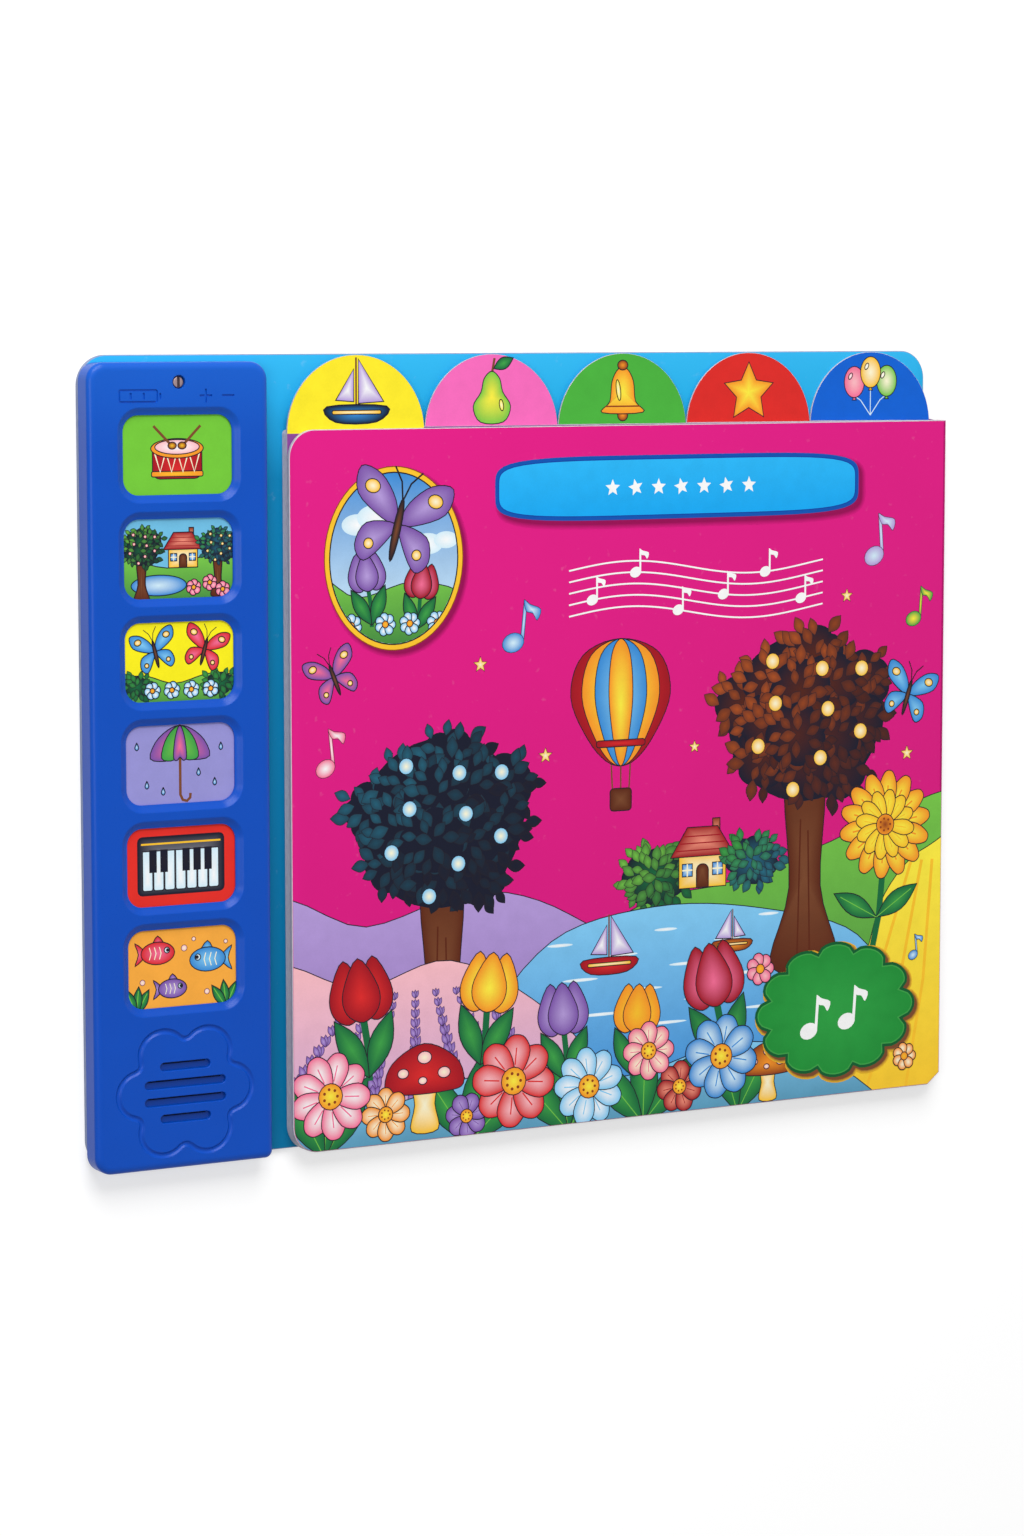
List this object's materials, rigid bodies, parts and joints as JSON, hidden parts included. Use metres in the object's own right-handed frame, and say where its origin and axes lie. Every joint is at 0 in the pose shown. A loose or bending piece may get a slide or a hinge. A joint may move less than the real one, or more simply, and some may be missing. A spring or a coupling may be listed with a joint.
{
  "type": "sound book",
  "caption": "Board book with tabbed leaves and a plastic sound module of picture buttons along its free edge, lying closed on its back board.",
  "frame": {"origin": "middle of the underside of the closed book as it lies on its back board", "axes": "+X from the sound module to the spine, +Y up the page towards the tabs, +Z out of the front cover"},
  "size_m": [0.2904, 0.231, 0.0086],
  "materials": {
    "board_card": "printed board, light satin varnish",
    "leaf_card": "printed board leaves, bare cut edges",
    "spine_card": "printed board",
    "cover_card": "printed board, gloss film",
    "casing": "moulded, satin",
    "key": "moulded",
    "dome": "moulded silicone",
    "circuit": "coated laminate",
    "chip": "poured resin",
    "steel": "plated",
    "cone_paper": "coated paper",
    "magnet": "sintered",
    "tray_screw": "plated",
    "contact": "spring strip",
    "lead_red": "sleeved wire",
    "lead_black": "sleeved wire",
    "tape": "double-sided tape",
    "label_green": "printed, gloss",
    "label_sky": "printed, gloss",
    "label_yellow": "printed, gloss",
    "label_lilac": "printed, gloss",
    "label_red": "printed, gloss",
    "label_orange": "printed, gloss"
  },
  "bodies": {
    "base": {"back_board": "board_card", "page_block": "leaf_card", "spine_strip": "spine_card", "module_front_shell": "casing", "module_back_plate": "casing", "battery_tray": "casing", "circuit_board": "circuit", "sound_chip": "chip", "speaker_frame": "steel", "speaker_cone": "cone_paper", "speaker_magnet": "magnet", "battery_tray_screw": "tray_screw", "speaker_lead_red": "lead_red", "speaker_lead_black": "lead_black", "battery_contact": "contact", "module_tape_upper": "tape", "module_tape_lower": "tape", "rubber_dome_1": "dome", "rubber_dome_2": "dome", "rubber_dome_3": "dome", "rubber_dome_4": "dome", "rubber_dome_5": "dome", "rubber_dome_6": "dome", "button_cell_1": "steel", "button_cell_2": "steel", "button_cell_3": "steel", "case_screw_1": "steel", "case_screw_2": "steel", "case_screw_3": "steel", "case_screw_4": "steel"},
    "cover": {"front_cover": "cover_card"},
    "button_1": {"button_key_1": "key", "button_label_1": "label_green"},
    "button_2": {"button_key_2": "key", "button_label_2": "label_sky"},
    "button_3": {"button_key_3": "key", "button_label_3": "label_yellow"},
    "button_4": {"button_key_4": "key", "button_label_4": "label_lilac"},
    "button_5": {"button_key_5": "key", "button_label_5": "label_red"},
    "button_6": {"button_key_6": "key", "button_label_6": "label_orange"}
  },
  "joints": [
    {"name": "cover_hinge", "type": "hinge", "parent": "base", "child": "cover", "pos_m": [0.1455, 0, 0.0048], "axis": [0, 1, 0], "range_deg": [0, 180]},
    {"name": "button_1_press", "type": "slide", "parent": "base", "child": "button_1", "axis": [0, 0, -1], "range_m": [0, 0.0008], "stiffness_N_per_m": 400, "deforming": ["rubber_dome_1"]},
    {"name": "button_2_press", "type": "slide", "parent": "base", "child": "button_2", "axis": [0, 0, -1], "range_m": [0, 0.0008], "stiffness_N_per_m": 400, "deforming": ["rubber_dome_2"]},
    {"name": "button_3_press", "type": "slide", "parent": "base", "child": "button_3", "axis": [0, 0, -1], "range_m": [0, 0.0008], "stiffness_N_per_m": 400, "deforming": ["rubber_dome_3"]},
    {"name": "button_4_press", "type": "slide", "parent": "base", "child": "button_4", "axis": [0, 0, -1], "range_m": [0, 0.0008], "stiffness_N_per_m": 400, "deforming": ["rubber_dome_4"]},
    {"name": "button_5_press", "type": "slide", "parent": "base", "child": "button_5", "axis": [0, 0, -1], "range_m": [0, 0.0008], "stiffness_N_per_m": 400, "deforming": ["rubber_dome_5"]},
    {"name": "button_6_press", "type": "slide", "parent": "base", "child": "button_6", "axis": [0, 0, -1], "range_m": [0, 0.0008], "stiffness_N_per_m": 400, "deforming": ["rubber_dome_6"]}
  ]
}
